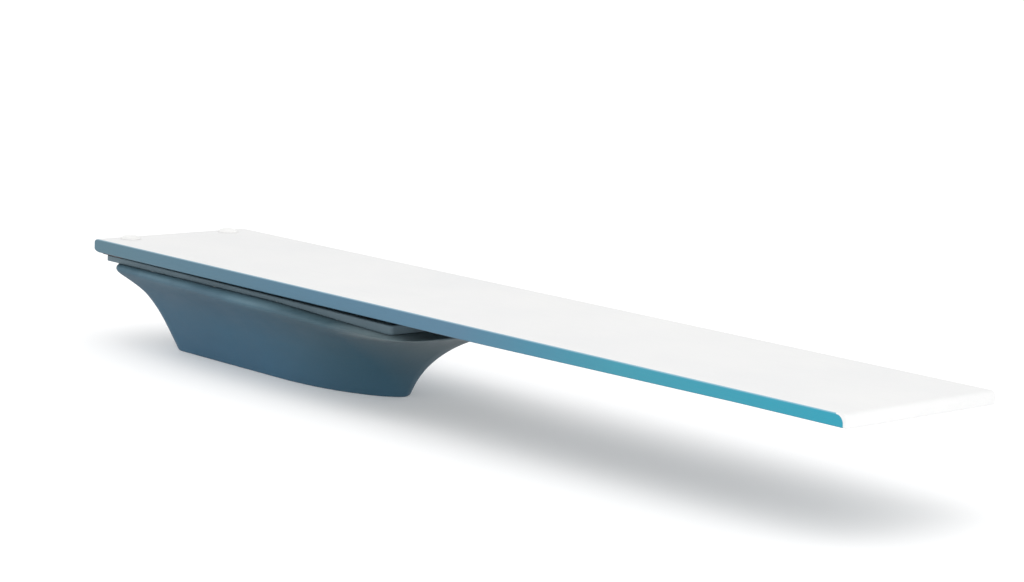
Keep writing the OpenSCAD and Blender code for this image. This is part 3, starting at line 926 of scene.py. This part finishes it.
GROOVE = [-0.4980, 0.010, PHW + 0.0015, PHW + 0.0015, 0.315, PX1 - FRONT_IN + 0.0015, 30, 30]
UNDER = [-0.4960, 0.008, PHW - 0.002, PHW - 0.002, 0.315, PX1 - FRONT_IN - 0.002, 30, 30]
INNER = [-0.476, 0.008, 0.190, 0.190, 0.315, PX1 - 0.014, 30, 30]


def mixo(a, b, s):
    return [p * (1 - s) + q * s for p, q in zip(a, b)]


def shell_outline(o, kr=6, k1=16, k2=46, k3=56):
    def hw(x):
        return o[2] + (o[3] - o[2]) * ease((x + 0.440) / 0.500)
    xa = o[0] + o[1]
    yr = hw(xa) - o[1]
    h = [(o[0], yr * k / kr) for k in range(kr)]
    for k in range(k1 + 1):
        p = math.pi / 2 * k / k1
        x = xa - o[1] * math.cos(p)
        h.append((x, yr + (hw(x) - yr) * math.sin(p)))
    for k in range(1, k2):
        x = xa + (o[4] - xa) * k / k2
        h.append((x, hw(x)))
    # even spread along the bow, whatever its exponents
    fine = []
    for k in range(721):
        p = math.pi / 2 * k / 720
        x = o[4] + (o[5] - o[4]) * math.sin(p) ** (2 / o[6])
        y = hw(x) * max(0.0, math.cos(p)) ** (2 / o[7]) if k < 720 else 0.0
        fine.append((x, y))
    fine = np.array(fine)
    # finest near the corner: spread by length plus turning
    d = np.hypot(*np.diff(fine, axis=0).T)
    ang = np.unwrap(np.arctan2(*np.diff(fine, axis=0).T[::-1]))
    turn = np.abs(np.diff(ang, append=ang[-1]))
    w = d / d.sum() + 1.1 * turn / max(1e-9, turn.sum())
    s = np.concatenate([[0], np.cumsum(w)])
    s /= s[-1]
    for k in range(k3 + 1):
        t = k / k3
        h.append((float(np.interp(t, s, fine[:, 0])), float(np.interp(t, s, fine[:, 1]))))
    h[-1] = (h[-1][0], 0.0)
    return h


def shell_mesh():
    rings = []
    def lift(o, a, b, c):
        h = shell_outline(o)
        pts = h + [(x, -y) for x, y in h[-2:0:-1]]
        rings.append([(x, y, a * lip_z(x) + b * ledge(x) + c) for x, y in pts])
    rb = 0.0045
    for k in range(0, 6):
        t = math.pi / 2 * k / 6
        z = rb * (1 - math.cos(t))
        lift(wall(z / 0.190, rb * (1 - math.sin(t))), 0, 0, z)
    u0 = 0.95
    n_out = 30
    for k in range(n_out):
        u = rb / 0.190 + (u0 - rb / 0.190) * (k / n_out) ** 0.95
        lift(wall(u), u, 0, 0)
    # the flare rolls over into the lip in one soft curve
    a2 = math.radians(48)
    top_mix = mixo(wall(1), GROOVE, 1 - math.cos(a2))
    ctrl = [(wall(u0), u0, 0.0), (wall(0.995), 0.995, 0.0), (wall(1), 0.62, 0.38),
            (top_mix, 1 - math.sin(a2), math.sin(a2))]
    for k in range(0, 13):
        t = k / 12
        w = [(1 - t) ** 3, 3 * t * (1 - t) ** 2, 3 * t * t * (1 - t), t ** 3]
        o = [sum(w[i] * ctrl[i][0][q] for i in range(4)) for q in range(8)]
        lift(o, sum(w[i] * ctrl[i][1] for i in range(4)), sum(w[i] * ctrl[i][2] for i in range(4)), 0)
    for k in range(1, 7):
        a = a2 + (math.pi / 2 - a2) * k / 6
        lift(mixo(wall(1), GROOVE, 1 - math.cos(a)), 1 - math.sin(a), math.sin(a), -0.0005 * k / 6)
    lift(mixo(GROOVE, UNDER, 0.3), 0, 1, -0.0007)
    lift(UNDER, 0, 1, -0.0009)
    lift(INNER, 0, 1, -0.0009)
    lift(INNER, 0, 1, -0.005)
    lift(mixo(wall(1 - 5 / 190, 0.003), GROOVE, 0.4), 0, 1, -0.005)
    for k in range(1, 16):
        u = 1 - k / 16
        lift(wall(u - 5 / 190, 0.003 + 0.0035 * max(0.0, 1 - u / 0.14)), u, 0, 0)
    lift(wall(-5 / 190, 0.0065), 0, 0, 0.0)
    n = len(rings[0])
    verts = [p for r in rings for p in r]
    faces = []
    R = len(rings)
    for j in range(R):
        j2 = (j + 1) % R
        for i in range(n):
            i2 = (i + 1) % n
            faces.append((j * n + i, j * n + i2, j2 * n + i2, j2 * n + i))
    ob = make_object("stand_shell_moulded", verts, faces, "shell_moulding")
    fix_normals(ob)
    boxes = []
    for s in (-1, 1):
        boxes.append(((-0.515, s * 0.070 - 0.026, PUND - 0.0225), (-0.435, s * 0.070 + 0.026, PUND + 0.002)))
    cut(ob, boxes, [])
    shade(ob, 48)
    return ob


finish_piece(shell_mesh(), "stand", ["stand_shell"])

# ------------------------------------------------------------------ steel frame and screws
for node in ("fulcrum_channel", "shell_brackets", "left_rail", "right_rail", "rear_beam", "fulcrum_beam", "rear_legs",
             "front_legs", "rear_foot_plate", "front_foot_plate", "rear_braces", "front_braces", "leg_ties", "foot_gussets"):
    finish_piece(bevelled(node, node + "_steel", "frame_paint", 0.0009), "stand", [node])
for node in ("platform_screws", "clamp_screws"):
    finish_piece(bevelled(node, node + "_steel", "bolt_steel", 0.0005), "stand", [node])

# ------------------------------------------------------------------ floor, light, camera
world = bpy.data.worlds.new("studio")
bpy.context.scene.world = world
world.use_nodes = True
world.node_tree.nodes["Background"].inputs[0].default_value = (1.0, 1.0, 1.0, 1)
world.node_tree.nodes["Background"].inputs[1].default_value = 1.12

fl = bpy.data.meshes.new("floor")
fl.from_pydata([(-60, -60, 0), (60, -60, 0), (60, 60, 0), (-60, 60, 0)], [], [(0, 1, 2, 3)])
floor = bpy.data.objects.new("floor", fl)
bpy.context.scene.collection.objects.link(floor)
fm, fnt, fb = new_material("floor", (0.93, 0.93, 0.93), 0.85, spec=0.1)
fv = coords(fnt)
fnt.links.new(ramp(fnt, noise(fnt, fv, 1.1, 3), [(0.3, (0.845, 0.846, 0.848)), (0.7, (0.86, 0.861, 0.863))]), fb.inputs["Base Color"])
fb.inputs["Emission Color"].default_value = (1, 1, 1, 1)
fb.inputs["Emission Strength"].default_value = 0.16
fl.materials.append(fm)


def area(name, loc, target, size, energy, color=(1, 1, 1)):
    l = bpy.data.lights.new(name, "AREA")
    l.shape = "RECTANGLE"
    l.size, l.size_y = size
    l.energy = energy
    l.color = color
    o = bpy.data.objects.new(name, l)
    bpy.context.scene.collection.objects.link(o)
    o.location = loc
    o.rotation_euler = (Vector(target) - Vector(loc)).to_track_quat("-Z", "Y").to_euler()
    return o


area("key", (1.5, -1.2, 4.2), (0.6, 0, 0.2), (4.5, 3.0), 24)
area("front", (5.2, 0.6, 1.5), (1.2, 0, 0.2), (2.4, 1.6), 7)
area("low_front", (5.6, -2.6, 0.60), (0.45, -0.1, 0.12), (1.6, 0.9), 46)
area("side", (0.2, -4.5, 1.6), (0.4, 0, 0.1), (4.0, 1.6), 4)

cam_d = bpy.data.cameras.new("camera")
cam = bpy.data.objects.new("camera", cam_d)
bpy.context.scene.collection.objects.link(cam)
bpy.context.scene.camera = cam
cam_d.sensor_fit = "HORIZONTAL"
cam_d.sensor_width = 36
cam_d.lens = 36 * 2673 / 1024
cam_d.clip_end = 300
a, e, ro = math.radians(46.21), math.radians(9.09), math.radians(2.91)
d = Vector((-math.sin(a) * math.cos(e), math.cos(a) * math.cos(e), -math.sin(e)))
r = Vector((math.cos(a), math.sin(a), 0))
u = r.cross(d)
r2 = math.cos(ro) * r + math.sin(ro) * u
u2 = -math.sin(ro) * r + math.cos(ro) * u
C = Vector((4.932, -4.050, 1.238))
rot = Matrix((r2, u2, -d)).transposed().to_4x4()
cam.matrix_world = Matrix.Translation(C) @ rot

bpy.context.scene.view_settings.view_transform = "Standard"
bpy.context.scene.view_settings.look = "None"
